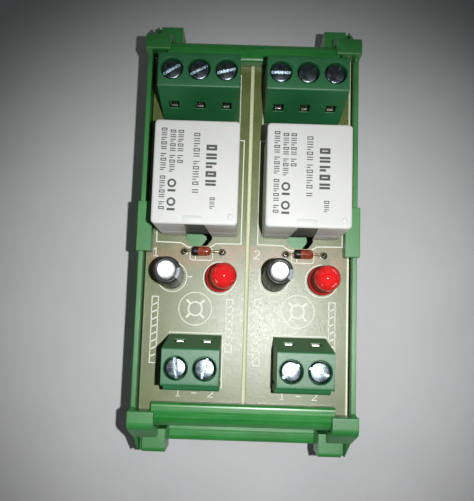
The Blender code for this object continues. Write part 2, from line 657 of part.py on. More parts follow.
def build_fixed_contact(name, side, arm_z, button_z, at, pin_end, mats):
    """Fixed contact: arm over or under the moving blade, leg down the side, and pin."""
    x, y = side * CONTACT_PIN[0], CONTACT_PIN[1]
    arm = sorted((x + side * 0.4, -side * 1.1))
    contact = boxes(name, [((arm[0], y - 0.9, arm_z[0]), (arm[1], y + 0.9, arm_z[1]))],
                    mats["contact"], at=at)
    leg = boxes(f"{name}_leg", [((x - 0.39, y - 0.7, 2.3), (x + 0.39, y + 0.7, arm_z[1] - 0.1))],
                at=at)
    pin = boxes(f"{name}_pin", [((x - 0.35, y - 0.35, pin_end), (x + 0.35, y + 0.35, 2.6))], at=at)
    button = cylinders(f"{name}_button", [(0, y, 0.9, *button_z)], 10, at=at)
    unite(contact, leg, pin, button)


# ---------------------------------------------------------------- small parts

def build_capacitor(key, x, lean, mats):
    """Radial can on two leads, leaning a little on them."""
    y = CAPACITOR[1]
    foot = 0.8
    can = turned(f"capacitor_{key}", [
        (0, 11.0), (2.2, 11.0), (2.5, 10.7), (2.5, 1.6), (2.3, 1.2), (2.5, 0.8), (2.5, 0.2),
        (2.2, 0), (0, 0),
    ], 16, mats["sleeve"], at=(x, y, BOARD_TOP + foot))
    can.rotation_euler = (radians(lean[0]), radians(lean[1]), 0)
    leads = cylinders(f"capacitor_{key}_leads",
                      [(dx, 0, LEAD_R, -BOARD_THICK - PIN_BELOW_BOARD, foot + 1) for dx in (-1, 1)], 6,
                      at=(x, y, BOARD_TOP))
    unite(can, leads)
    return [(x + dx, y, 0.6) for dx in (-1, 1)]


def build_led(key, x, lean, mats):
    """5 mm round LED with its flange and two leads."""
    y = LED[1]
    foot, shoulder = 0.9, 6.1
    dome = [(2.5 * cos(radians(a)), shoulder + 2.5 * sin(radians(a))) for a in (90, 65, 42, 20, 0)]
    dome[0] = (0, dome[0][1])
    body = turned(f"led_{key}", dome + [(2.5, 1.0), (2.9, 1.0), (2.9, 0), (0, 0)], 20, mats["led"],
                  at=(x, y, BOARD_TOP + foot))
    body.rotation_euler = (radians(lean[0]), radians(lean[1]), 0)
    legs = [(dx, 0, LEAD_R, -BOARD_THICK - PIN_BELOW_BOARD, foot + 1) for dx in (-1.27, 1.27)]
    leads = cylinders(f"led_{key}_leads", legs, 6, at=(x, y, BOARD_TOP))
    unite(body, leads)
    return [(x + dx, y, 0.6) for dx in (-1.27, 1.27)]


def build_diode(key, x, mats):
    """Axial glass diode lying along X on its bent leads."""
    y = DIODE[1]
    half, height, body_x = 3.81, 1.3, -0.35
    route = [(-half, 0, -BOARD_THICK - PIN_BELOW_BOARD), (-half, 0, 0.9), (-half + 0.4, 0, height),
             (half - 0.4, 0, height), (half, 0, 0.9), (half, 0, -BOARD_THICK - PIN_BELOW_BOARD)]
    outline = [(0, 2.0), (0.7, 2.0), (0.95, 1.7), (0.95, -1.7), (0.7, -2.0), (0, -2.0)]
    body = turned(f"diode_{key}", outline, 12, mats["diode"],
                  at=(x + body_x, y, BOARD_TOP + height))
    body.rotation_euler.y = pi / 2
    unite(body, wire(f"diode_{key}_leads", route, LEAD_R, at=(x, y, BOARD_TOP)))
    return [(x + dx, y, 0.6) for dx in (-half, half)]


# ---------------------------------------------------------------- assembly

def main():
    clear_scene()
    mats = make_materials()
    build_profile(mats)
    for name, side in (("left", -1), ("right", 1)):
        build_end_cover(f"end_cover_{name}", side, mats)
        build_latch(f"rail_latch_{name}", side, mats)

    holes, slots = [], []
    places = relay_places()
    for key, x in CHANNELS.items():
        holes += build_terminal(f"output_terminal_{key}", 3, (x, OUTPUT_Y), 1,
                                OUTPUT_SLOT_TURNS[key], mats)
        holes += build_terminal(f"coil_terminal_{key}", 2, (x + COIL_TERMINAL_SHIFT, COIL_Y), -1,
                                COIL_SLOT_TURNS[key], mats)
        holes += build_relay(key, places[key], mats)
        slots.append(isolation_slot(key, places[key]))
        can_lean, led_lean = LEANS[key]
        holes += build_capacitor(key, x + CAPACITOR[0], can_lean, mats)
        holes += build_led(key, x + LED[0], led_lean, mats)
        holes += build_diode(key, x + DIODE[0], mats)
    build_board(mats, holes, slots)


main()
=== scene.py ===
"""Looks of the two-channel relay interface module on its DIN-rail board carrier.

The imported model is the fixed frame. Plastic housings, screws, relays and small parts get a finer
piece in the place of their plain solid, and every other solid keeps its shape under a procedural
material. Shapes are drawn in millimetres, in the frame of the model: X across the two channels,
Y from the coil side to the contact side, Z up.
"""

from math import atan2, cos, pi, radians, sin, tan

import bmesh
import bpy
from mathutils import Matrix, Vector


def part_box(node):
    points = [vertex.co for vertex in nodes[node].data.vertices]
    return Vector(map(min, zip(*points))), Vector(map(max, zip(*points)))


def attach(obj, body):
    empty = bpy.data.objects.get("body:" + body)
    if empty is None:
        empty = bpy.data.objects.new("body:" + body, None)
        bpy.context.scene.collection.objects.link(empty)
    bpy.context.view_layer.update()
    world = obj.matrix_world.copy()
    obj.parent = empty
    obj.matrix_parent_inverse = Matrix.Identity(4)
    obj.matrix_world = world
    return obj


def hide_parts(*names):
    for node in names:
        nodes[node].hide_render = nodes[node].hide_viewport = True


MM = 0.001
MODULE = "module"

# Camera and light, in millimetres and radians. A wall lamp is given by its turn in degrees, its
# distance from the middle and its height.
CAMERA_AT = (-1.54, -18.97, 153.63)
CAMERA_TURN = (0.119, 0.001, 0.032)
CAMERA_LENS, CAMERA_SENSOR = 44.2, 36.0
LAMP_AT, LAMP_AIM, LAMP_RADIUS = (9.0, -19.0, 160.0), (3.0, -17.0, 0.0), 0.8
LAMP_CONE, LAMP_WATTS, SKY_STRENGTH = radians(66), 5.6, 0.040
WALL_LAMP_TURNS, WALL_LAMP_AT, WALL_LAMP_AIM = (45, 135, 225, 315), (480.0, 38.0), (0.0, 0.0, 25.0)
WALL_LAMP_SIZE, WALL_LAMP_WATTS = (300.0, 64.0), 0.30

# Screw terminals. Each way is +1 where the wires enter from +Y. A slot turn is in degrees from X.
TERMINALS = {
    "output_terminal_1": {"way": 1, "poles": 3, "slots": (32, 28, 15)},
    "output_terminal_2": {"way": 1, "poles": 3, "slots": (0, 38, 55)},
    "coil_terminal_1": {"way": -1, "poles": 2, "slots": (97, 75)},
    "coil_terminal_2": {"way": -1, "poles": 2, "slots": (40, -20)},
}
POLE_PITCH = 5.08
BOARD_TOP = 31.0
INK_THICK, SHARP_ANGLE = 0.02, radians(34)

# Places from a channel's middle line, and how far wire leads reach below the board's top.
CAPACITOR_AT, LED_AT, DIODE_AT, DIODE_BODY_X = (-4.74, -10.0), (4.75, -10.0), (1.27, -4.85), -0.35
RELAY_X, LEAD_END, LEAD_INSIDE = 0.3, -3.3, -1.0
# Lean of each channel's capacitor and LED about X and Y, in degrees.
LEANS = {"1": ((-2, 1), (0, 9)), "2": ((-4, 2), (-1, 2))}

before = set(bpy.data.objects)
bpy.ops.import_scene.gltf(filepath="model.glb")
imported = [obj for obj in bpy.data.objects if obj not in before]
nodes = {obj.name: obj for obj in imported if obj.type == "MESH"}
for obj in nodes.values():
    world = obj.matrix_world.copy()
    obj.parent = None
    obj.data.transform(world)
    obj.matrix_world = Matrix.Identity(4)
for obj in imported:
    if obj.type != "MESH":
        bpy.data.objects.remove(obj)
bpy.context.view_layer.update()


def box_mm(node):
    """Lowest and highest corner of a CAD node, in millimetres."""
    low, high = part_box(node)
    return low / MM, high / MM


# ---------------------------------------------------------------- materials

class Look:
    """A material under construction: its node tree, Principled shader and object coordinates."""

    def __init__(self, name, **constants):
        self.material = bpy.data.materials.new(name)
        self.material.use_nodes = True
        self.nodes = self.material.node_tree.nodes
        self.links = self.material.node_tree.links
        self.shader = self.nodes["Principled BSDF"]
        for socket, value in constants.items():
            self.shader.inputs[socket.replace("_", " ")].default_value = value
        self.place = self.node("ShaderNodeTexCoord").outputs["Object"]

    def node(self, kind, **settings):
        made = self.nodes.new(kind)
        for key, value in settings.items():
            setattr(made, key, value)
        return made

    def link(self, source, target):
        self.links.new(source, target)

    def stretched(self, scale):
        """Object coordinates scaled along each axis, which stretches a texture the other way."""
        mapping = self.node("ShaderNodeMapping")
        mapping.inputs["Scale"].default_value = scale
        self.link(self.place, mapping.inputs["Vector"])
        return mapping.outputs["Vector"]

    def noise(self, size_mm, detail=3.0, rough=0.55, place=None):
        """Cloudy factor whose blotches are about size_mm across."""
        made = self.node("ShaderNodeTexNoise")
        made.inputs["Scale"].default_value = 1 / (size_mm * MM)
        made.inputs["Detail"].default_value = detail
        made.inputs["Roughness"].default_value = rough
        self.link(place or self.place, made.inputs["Vector"])
        return made.outputs["Fac"]

    def spread(self, factor, low, high, start=0.3, end=0.7):
        """Factor between start and end turned into a value between low and high."""
        made = self.node("ShaderNodeMapRange")
        for socket, value in zip(("From Min", "From Max", "To Min", "To Max"),
                                 (start, end, low, high)):
            made.inputs[socket].default_value = value
        self.link(factor, made.inputs["Value"])
        return made.outputs["Result"]

    def blend(self, factor, first, second):
        """Colour between first and second, each a colour or a socket."""
        made = self.node("ShaderNodeMix", data_type="RGBA")
        self.link(factor, made.inputs["Factor"])
        for socket, value in zip((made.inputs[6], made.inputs[7]), (first, second)):
            if isinstance(value, bpy.types.NodeSocket):
                self.link(value, socket)
            else:
                socket.default_value = (*value, 1.0)
        return made.outputs[2]

    def times(self, first, second):
        made = self.node("ShaderNodeMath", operation="MULTIPLY")
        for socket, value in zip(made.inputs, (first, second)):
            self.link(value, socket)
        return made.outputs[0]

    def axis(self, name):
        """One object coordinate, in metres."""
        split = self.node("ShaderNodeSeparateXYZ")
        self.link(self.place, split.inputs["Vector"])
        return split.outputs[name]

    def colour(self, socket):
        self.link(socket, self.shader.inputs["Base Color"])

    def roughness(self, socket):
        self.link(socket, self.shader.inputs["Roughness"])

    def relief(self, height, depth_mm, rounding_mm=0.0):
        """Bump of that depth, over edges that look rounded to that radius."""
        bump = self.node("ShaderNodeBump")
        bump.inputs["Distance"].default_value = depth_mm * MM
        self.link(height, bump.inputs["Height"])
        if rounding_mm:
            edge = self.node("ShaderNodeBevel", samples=4)
            edge.inputs["Radius"].default_value = rounding_mm * MM
            self.link(edge.outputs["Normal"], bump.inputs["Normal"])
        self.link(bump.outputs["Normal"], self.shader.inputs["Normal"])


def moulded(name, dark, light, rough, grain_mm, depth_mm, rounding_mm, **constants):
    """Moulded plastic: slow tone drift, fine spark-eroded grain, pale rub marks on its skin."""
    look = Look(name, **constants)
    drift = look.spread(look.noise(7.0, 4.0), 0.0, 1.0)
    tone = look.blend(drift, dark, light)
    scuffs = look.spread(look.noise(1.1, 6.0, 0.75), 0.0, 0.22, 0.60, 0.74)
    pale = tuple(min(1.0, c * 1.5 + 0.03) for c in light)
    look.colour(look.blend(scuffs, tone, pale))
    grain = look.noise(grain_mm, 5.0, 0.6)
    look.roughness(look.spread(grain, rough - 0.06, rough + 0.08))
    look.relief(grain, depth_mm, rounding_mm)
    return look.material


def extruded(name, dark, light, rough):
    """Extruded plastic: die lines that run along X, painted paler as painted sheen, over a slow tone
    drift.
    """
    look = Look(name, Specular_IOR_Level=0.85, Coat_Weight=0.35, Coat_Roughness=0.28)
    lines = look.noise(0.35, 4.0, 0.6, look.stretched((0.03, 1.0, 1.0)))
    cloud = look.noise(5.0, 5.0, 0.65)
    tone = look.blend(look.spread(cloud, 0.0, 1.0), dark, light)
    # Paler colour along the die lines: painted sheen.
    shine = tuple(min(1.0, c * 1.25 + 0.01) for c in light)
    look.colour(look.blend(look.spread(lines, 0.0, 0.5, 0.45, 0.75), tone, shine))
    look.roughness(look.spread(lines, rough - 0.08, rough + 0.10))
    look.relief(lines, 0.03, 0.2)
    return look.material


def metal(name, dark, light, rough, streak, rounding_mm=0.06):
    """Plated metal: fine streaks, dull patches and a softly rounded edge."""
    look = Look(name, Metallic=1.0)
    patches = look.spread(look.noise(0.9, 4.0, 0.6), 0.0, 1.0)
    look.colour(look.blend(patches, dark, light))
    streaks = look.noise(0.16, 3.0, 0.6, look.stretched(streak))
    look.roughness(look.spread(streaks, rough - 0.07, rough + 0.14))
    look.relief(streaks, 0.012, rounding_mm)
    return look.material


def solder_mask():
    """Olive mask over laminate, browner by the diodes, bare at the score and the right edge."""
    look = Look("board_mask", Specular_IOR_Level=0.85)
    x, y, z = (look.axis(name) for name in "XYZ")
    weave = look.noise(0.35, 4.0, 0.7)
    cloud = look.noise(6.0, 5.0, 0.6)
    mask = look.blend(look.spread(cloud, 0.0, 1.0), (0.082, 0.112, 0.020), (0.124, 0.164, 0.036))
    copper_band = look.times(
        look.spread(y, 0.0, 1.0, -0.0092, -0.0070),
        look.spread(y, 1.0, 0.0, -0.0036, -0.0030),
    )
    copper = look.times(copper_band, look.spread(look.noise(3.0, 4.0), 0.15, 0.85, 0.35, 0.6))
    mask = look.blend(copper, mask, (0.25, 0.15, 0.06))
    mask = look.blend(look.spread(weave, 0.0, 0.30, 0.50, 0.75), mask, (0.22, 0.26, 0.10))
    glass_fibre = look.blend(
        look.spread(look.noise(0.3, 5.0, 0.75, look.stretched((1.0, 1.0, 3.0))), 0.0, 1.0),
        (0.55, 0.56, 0.34), (0.85, 0.87, 0.68),
    )
    score = look.spread(z, 1.0, 0.0, 0.03090, 0.03097)
    mask = look.blend(score, mask, glass_fibre)
    edge = look.spread(x, 0.0, 0.9, 0.01990, 0.01998)
    look.colour(look.blend(edge, mask, glass_fibre))
    look.roughness(look.spread(weave, 0.34, 0.42))
    look.relief(weave, 0.025, 0.05)
    return look.material


def ink(name, dark, light, rough):
    """Screen-printed ink: uneven film, thin at places."""
    look = Look(name)
    film = look.noise(0.22, 4.0, 0.7)
    look.colour(look.blend(look.spread(film, 0.0, 1.0, 0.38, 0.62), dark, light))
    look.roughness(look.spread(film, rough - 0.05, rough + 0.12))
    look.relief(film, 0.01)
    return look.material


def red_epoxy():
    look = Look("led_epoxy", Subsurface_Weight=0.35, Subsurface_Scale=0.0012, Coat_Weight=0.3,
                Coat_Roughness=0.04, Specular_IOR_Level=0.5, Transmission_Weight=0.12)
    look.shader.inputs["Subsurface Radius"].default_value = (1.0, 0.15, 0.1)
    # Lens red runs from dark at its foot to bright from 5.8 mm up: painted shade towards the bottom.
    z = look.axis("Z")
    shade_fade = look.spread(z, 0.0, 1.0, 0.0, 0.0058)
    cloud = look.spread(look.noise(1.6, 3.0), 0.0, 0.3)
    body = look.blend(shade_fade, (0.30, 0.012, 0.010), (0.90, 0.018, 0.020))
    look.colour(look.blend(cloud, body, (0.95, 0.045, 0.040)))
    skin = look.noise(0.5, 2.0)
    look.roughness(look.spread(skin, 0.05, 0.09))
    look.relief(skin, 0.006)
    return look.material


def shrink_sleeve(name, dark, light):
    look = Look(name, Specular_IOR_Level=0.35)
    pull = look.noise(0.8, 4.0, 0.6, look.stretched((1.0, 1.0, 0.25)))
    look.colour(look.blend(look.spread(pull, 0.0, 1.0), dark, light))
    look.roughness(look.spread(pull, 0.30, 0.44))
    look.relief(pull, 0.05)
    return look.material


def diode_glass():
    look = Look("diode_glass_body", Coat_Weight=1.0, Coat_Roughness=0.04, Transmission_Weight=0.25,
                Specular_IOR_Level=0.6)
    swirl = look.noise(0.7, 4.0, 0.6)
    look.colour(look.blend(look.spread(swirl, 0.0, 1.0), (0.16, 0.022, 0.012), (0.62, 0.13, 0.06)))
    look.roughness(look.spread(swirl, 0.08, 0.2))
    look.relief(swirl, 0.02)
    return look.material


def copper_winding():
    """Enamelled wire wound in turns that stack along Z."""
    look = Look("coil_winding", Metallic=0.6, Coat_Weight=0.5, Coat_Roughness=0.2)
    turns = look.node("ShaderNodeTexWave", bands_direction="Z")
    turns.inputs["Scale"].default_value = 900.0
    turns.inputs["Distortion"].default_value = 1.5
    look.link(look.place, turns.inputs["Vector"])
    look.colour(look.blend(turns.outputs["Fac"], (0.25, 0.07, 0.025), (0.62, 0.24, 0.09)))
    look.roughness(look.spread(turns.outputs["Fac"], 0.25, 0.4, 0.0, 1.0))
    look.relief(turns.outputs["Fac"], 0.05)
    return look.material


def table_paper():
    look = Look("table_paper", Specular_IOR_Level=0.25)
    fibre = look.noise(0.8, 6.0, 0.7)
    cloud = look.noise(30.0, 3.0)
    tone = look.blend(look.spread(cloud, 0.0, 1.0), (0.56, 0.56, 0.57), (0.62, 0.62, 0.63))
    look.colour(look.blend(look.spread(fibre, 0.0, 0.25), tone, (0.68, 0.68, 0.69)))
    look.roughness(look.spread(fibre, 0.75, 0.9))
    look.relief(fibre, 0.04)
    return look.material


CARRIER = moulded("carrier_moulded", (0.015, 0.180, 0.028), (0.030, 0.250, 0.048), 0.42, 0.30,
                  0.020, 0.28, Specular_IOR_Level=0.9, Coat_Weight=0.35, Coat_Roughness=0.34)
PROFILE = extruded("carrier_extruded", (0.015, 0.190, 0.028), (0.030, 0.270, 0.048), 0.38)
TERMINAL = moulded("terminal_polyamide", (0.012, 0.128, 0.038), (0.022, 0.176, 0.061), 0.43, 0.16,
                   0.030, 0.14, Specular_IOR_Level=0.75)
CASE = moulded("relay_case", (0.665, 0.675, 0.655), (0.715, 0.720, 0.705), 0.50, 0.25,
               0.012, 0.22, Subsurface_Weight=0.12, Subsurface_Scale=0.0008)
BASE = moulded("relay_base", (0.42, 0.40, 0.34), (0.52, 0.50, 0.43), 0.55, 0.2, 0.02, 0.12)
# Dark grey-green for a sheet in the relay case's recess: painted shade where the recess falls dark.
RECESS_SHADE = moulded("relay_recess_shade", (0.10, 0.13, 0.11), (0.15, 0.18, 0.16), 0.5, 0.25, 0.02, 0.1)
STEEL = metal("zinc_plate", (0.40, 0.43, 0.48), (0.66, 0.68, 0.72), 0.30, (1.0, 0.12, 1.0))
SCREW = metal("screw_plate", (0.07, 0.12, 0.14), (0.36, 0.40, 0.44), 0.27, (1.0, 0.12, 1.0))
CAGE = metal("cage_plate", (0.50, 0.49, 0.44), (0.74, 0.73, 0.68), 0.34, (1.0, 1.0, 0.15))
TIN = metal("tinned_copper", (0.52, 0.48, 0.42), (0.78, 0.75, 0.70), 0.32, (1.0, 1.0, 0.2))
SILVER = metal("contact_silver", (0.62, 0.60, 0.55), (0.86, 0.84, 0.80), 0.26, (0.3, 1.0, 1.0))
ALUMINIUM = metal("can_aluminium", (0.78, 0.79, 0.80), (0.93, 0.93, 0.94), 0.34, (1.0, 0.4, 1.0))
DULL_LEAD = metal("aged_lead", (0.17, 0.13, 0.075), (0.40, 0.33, 0.22), 0.38, (0.2, 1.0, 1.0), 0.0)
SOLDER = metal("solder", (0.30, 0.29, 0.24), (0.66, 0.65, 0.60), 0.24, (1.0, 1.0, 1.0), 0.0)
MASK = solder_mask()
SILK = ink("silk_ink", (0.62, 0.65, 0.52), (0.86, 0.88, 0.80), 0.50)
PRINT = ink("case_ink", (0.035, 0.038, 0.036), (0.10, 0.105, 0.10), 0.55)
EPOXY = red_epoxy()
# Darker, matte red for the LED's wall and flange; the darker red is painted shade on its sides.
RED_SIDE_SHADED = moulded("led_side_shaded", (0.28, 0.012, 0.010), (0.50, 0.018, 0.016), 0.55, 0.4, 0.01, 0.08,
                     Specular_IOR_Level=0.1)
SLEEVE = shrink_sleeve("sleeve_black", (0.012, 0.013, 0.014), (0.032, 0.033, 0.036))
STRIPE = shrink_sleeve("sleeve_stripe", (0.28, 0.31, 0.35), (0.42, 0.45, 0.50))
GLASS = diode_glass()
BAND = shrink_sleeve("diode_band", (0.006, 0.006, 0.006), (0.020, 0.018, 0.018))
WINDING = copper_winding()
PAPER = table_paper()


# ---------------------------------------------------------------- shapes, in millimetres

def rounded(corners, steps=6):
    """Closed outline through corners (a, b, radius), with each radius drawn as an arc."""
    points = []
    for i, (a, b, radius) in enumerate(corners):
        here = Vector((a, b))
        if not radius:
            points.append(here)
            continue
        back = (Vector(corners[i - 1][:2]) - here).normalized()
        ahead = (Vector(corners[(i + 1) % len(corners)][:2]) - here).normalized()
        half = back.angle(ahead) / 2
        centre = here + (back + ahead).normalized() * radius / sin(half)
        start = here + back * radius / tan(half) - centre
        turn = (pi - 2 * half) * (-1 if back.x * ahead.y - back.y * ahead.x > 0 else 1)
        first = atan2(start.y, start.x)
        for k in range(steps + 1):
            angle = first + turn * k / steps
            points.append(centre + radius * Vector((cos(angle), sin(angle))))
    return points


def rectangle(half_x, half_y, radius):
    return [(half_x, -half_y, radius), (half_x, half_y, radius),
            (-half_x, half_y, radius), (-half_x, -half_y, radius)]


def loft(bm, rings, closed=False):
    """Skin over rings of equal length, capped at both ends unless the last joins the first."""
    loops = [[bm.verts.new(point) for point in ring] for ring in rings]
    count = len(loops[0])
    pairs = list(zip(loops, loops[1:] + loops[:1] if closed else loops[1:]))
    for low, high in pairs:
        for k in range(count):
            n = (k + 1) % count
            bm.faces.new((low[k], low[n], high[n], high[k]))
    if not closed:
        bm.faces.new(loops[0])
        bm.faces.new(list(reversed(loops[-1])))


def along_x(outline, low, high):
    """Two rings of a (y, z) outline, at each end of its sweep along X."""
    return [[(x, a, b) for a, b in outline] for x in (low, high)]


def along_z(outline, low, high, centre=(0, 0)):
    return [[(centre[0] + a, centre[1] + b, z) for a, b in outline] for z in (low, high)]


def circle(radius, sides):
    return [(radius * cos(2 * pi * k / sides), radius * sin(2 * pi * k / sides))
            for k in range(sides)]


def cuboid(bm, low, high):
    outline = [(low[0], low[1]), (high[0], low[1]), (high[0], high[1]), (low[0], high[1])]
    loft(bm, along_z(outline, low[2], high[2]))


def drum(bm, centre, low, high, sides=40):
    """Upright round post or cone: low and high are (z, radius)."""
    rings = [[(centre[0] + a, centre[1] + b, z) for a, b in circle(radius, sides)]
             for z, radius in (low, high)]
    loft(bm, rings)


def lathe(bm, profile, sides, paint=None):
    """Solid of revolution about Z through (radius, z) points from one pole to the other."""
    paint = paint or (lambda segment, angle: 0)
    rings = []
    for radius, z in profile:
        if radius == 0:
            rings.append([bm.verts.new((0, 0, z))] * sides)
        else:
            rings.append([bm.verts.new((a, b, z)) for a, b in circle(radius, sides)])
    for segment, (upper, lower) in enumerate(zip(rings, rings[1:])):
        for k in range(sides):
            n = (k + 1) % sides
            corners = []
            for vert in (upper[k], upper[n], lower[n], lower[k]):
                if vert not in corners:
                    corners.append(vert)
            bm.faces.new(corners).material_index = paint(segment, 2 * pi * (k + 0.5) / sides)


def tube(bm, route, radius, sides=14):
    """Round wire along a route that stays in one vertical plane."""
    rings = []
    points = [Vector(p) for p in route]
    side = (points[-1] - points[0]).cross(Vector((0, 0, 1)))
    side = side.normalized() if side.length > 1e-6 else Vector((0, 1, 0))
    for i, point in enumerate(points):
        ahead = points[min(i + 1, len(points) - 1)] - points[max(i - 1, 0)]
        up = side.cross(ahead.normalized()).normalized()
        rings.append([point + radius * (side * cos(2 * pi * k / sides) + up * sin(2 * pi * k / sides))
                      for k in range(sides)])
    loft(bm, rings)


def arc(centre, radius, start, end, steps):
    """Points of an arc in the XY plane, with its angles in degrees."""
    return [(centre[0] + radius * cos(radians(start + (end - start) * k / steps)),
             centre[1] + radius * sin(radians(start + (end - start) * k / steps)))
            for k in range(steps + 1)]


def ribbon(bm, points, width, z, closed=False):
    """Flat printed line of that width through XY points, with its corners mitred."""
    points = [Vector(p) for p in points]
    count = len(points)
    lefts, rights = [], []
    for i, here in enumerate(points):
        before = points[i - 1] if i or closed else None
        after = points[(i + 1) % count] if i < count - 1 or closed else None
        into = (here - before).normalized() if before is not None else None
        out = (after - here).normalized() if after is not None else None
        into, out = into or out, out or into
        middle = (into + out).normalized() if (into + out).length > 1e-6 else into
        normal = Vector((-middle.y, middle.x))
        reach = width / 2 / max(0.5, normal.dot(Vector((-into.y, into.x))))
        lefts.append(here + normal * reach)
        rights.append(here - normal * reach)
    rings = [[(*left, z), (*right, z), (*right, z + INK_THICK), (*left, z + INK_THICK)]
             for left, right in zip(lefts, rights)]
    loft(bm, rings, closed=closed)


# ---------------------------------------------------------------- pieces

def add_piece(name, bm, materials, body=MODULE, stands_for=(), at=(0, 0, 0), turn=None,
              smooth=32):
    """Object from a bmesh in millimetres, placed in the model's frame and riding on a body."""
    bmesh.ops.recalc_face_normals(bm, faces=bm.faces[:])
    bmesh.ops.scale(bm, vec=(MM, MM, MM), verts=bm.verts[:])
    mesh = bpy.data.meshes.new(name)
    bm.to_mesh(mesh)
    bm.free()
    for material in materials:
        mesh.materials.append(material)
    mesh.shade_smooth()
    mesh.set_sharp_from_angle(angle=radians(smooth))
    obj = bpy.data.objects.new(name, mesh)
    bpy.context.scene.collection.objects.link(obj)
    obj.matrix_world = Matrix.Translation(Vector(at) * MM) @ (turn or Matrix.Identity(4))
    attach(obj, body)
    if stands_for:
        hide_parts(*stands_for)
    return obj


def carved(solid, cutter):
    """The first bmesh minus the second, both in millimetres."""
    objects = []
    for name, bm in (("solid", solid), ("cutter", cutter)):
        bmesh.ops.recalc_face_normals(bm, faces=bm.faces[:])
        mesh = bpy.data.meshes.new(name)
        bm.to_mesh(mesh)
        bm.free()
        obj = bpy.data.objects.new(name, mesh)
        bpy.context.scene.collection.objects.link(obj)
        objects.append(obj)
    boolean = objects[0].modifiers.new("carve", "BOOLEAN")
    boolean.operation, boolean.solver, boolean.object = "DIFFERENCE", "EXACT", objects[1]
    boolean.use_self = True
    graph = bpy.context.evaluated_depsgraph_get()
    result = bmesh.new()
    result.from_mesh(bpy.data.meshes.new_from_object(objects[0].evaluated_get(graph)))
    for obj in objects:
        bpy.data.objects.remove(obj)
    return result


def paint_node(node, *materials):
    """Gives a CAD node its material in place of the plain one it was packed with."""
    mesh = nodes[node].data
    mesh.materials.clear()
    for material in materials:
        mesh.materials.append(material)


def soften_shading(node):
    """Smooth shading across the small steps of a CAD node's arcs."""
    nodes[node].data.shade_smooth()
    nodes[node].data.set_sharp_from_angle(angle=SHARP_ANGLE)


# ---------------------------------------------------------------- screw terminals

# In a housing's own frame: x from its middle, y out to the wire side, z up from the board.
HOUSING_TOP, HOUSING_BACK, HOUSING_FACE, HOUSING_FRONT = 13.5, -2.93, 5.9, 7.1
HOUSING_CREST = -0.7
SCREW_Y, HEAD_R, HEAD_TOP, HEAD_BOTTOM = 2.77, 1.85, 12.9, 11.3
SHANK_R, SHANK_END, PLAY, WELL_PLAY = 1.2, 6.35, 0.3, 0.18
# The window in the sloped back: half its width, its lower and upper edge, and its pit's floor.
WINDOW_HALF, WINDOW_LOW, WINDOW_HIGH, PIT_FLOOR = 1.0, 5.6, 8.2, 2.6


def terminal_place(name):
    """World matrix parts of a housing: where its frame's origin is, and its half-turn or none."""
    low, high = box_mm(name)
    way = TERMINALS[name]["way"]
    y = high.y - HOUSING_FRONT if way > 0 else low.y + HOUSING_FRONT
    return Vector(((low.x + high.x) / 2, y, BOARD_TOP)), Matrix.Rotation(0 if way > 0 else pi, 4, "Z")


def add_terminal(name):
    """Housing with screw wells, wire funnels and back windows, and a silver tail in each window."""
    poles = TERMINALS[name]["poles"]
    half = poles * POLE_PITCH / 2
    xs = [(k - (poles - 1) / 2) * POLE_PITCH for k in range(poles)]
    outline = rounded([
        (HOUSING_FACE, HOUSING_TOP, 0.45),
        (HOUSING_FACE + 0.15, 9.25, 0.12),
        (HOUSING_FRONT - 0.35, 9.0, 0.25),
        (HOUSING_FRONT, 8.4, 0.25),
        (HOUSING_FRONT, 0.3, 0.2),
        (HOUSING_BACK, 0.3, 0.15),
        (HOUSING_BACK, 1.3, 0.25),
        (HOUSING_CREST, HOUSING_TOP, 0.35),
    ])
    body = bmesh.new()
    loft(body, along_x(outline, -half, half))
    cut = bmesh.new()
    for x in xs:
        drum(cut, (x, SCREW_Y), (11.0, HEAD_R + WELL_PLAY), (13.25, HEAD_R + WELL_PLAY))
        drum(cut, (x, SCREW_Y), (13.24, HEAD_R + WELL_PLAY), (13.7, HEAD_R + WELL_PLAY + 0.3))
        drum(cut, (x, SCREW_Y), (10.2, SHANK_R + PLAY), (11.2, SHANK_R + PLAY), 24)
        cuboid(cut, (x - 2.15, 0.45, 0.9), (x + 2.15, 5.1, 10.5))
        funnel = [[(x + a, y, 3.55 + b) for a, b in
                   ((-wide, -tall), (wide, -tall), (wide, tall), (-wide, tall))]
                  for y, wide, tall in ((5.0, 1.8, 1.95), (6.55, 1.8, 1.95), (7.3, 2.1, 2.25))]
        loft(cut, funnel)
        cuboid(cut, (x - WINDOW_HALF, -4.0, WINDOW_LOW), (x + WINDOW_HALF, 0.6, WINDOW_HIGH))
        cuboid(cut, (x - WINDOW_HALF, -1.98, PIT_FLOOR), (x + WINDOW_HALF, 0.6, WINDOW_LOW + 0.1))
        cuboid(cut, (x - 1.5, -0.95, 0.0), (x + 1.5, 0.6, 6.3))
    for x in xs[1:]:
        seam = x - POLE_PITCH / 2
        cuboid(cut, (seam - 0.09, HOUSING_FRONT - 0.16, 0.0), (seam + 0.09, HOUSING_FRONT + 1, 8.2))
    for low, high in ((-half - 1, -half + 0.28), (half - 0.28, half + 1)):
        cuboid(cut, (low, 5.2, 0.0), (high, 5.75, 8.0))
    body = carved(body, cut)
    place, turn = terminal_place(name)
    tails = bmesh.new()
    for x in xs:
        cuboid(tails, (x - 0.62, -1.80, PIT_FLOOR - 0.2), (x + 0.62, -1.50, WINDOW_LOW + 0.5))
    add_piece(f"{name}_tails", tails, [TIN], at=place, turn=turn)
    add_piece(f"{name}_housing", body, [TERMINAL], stands_for=[name],
              at=place, turn=turn)


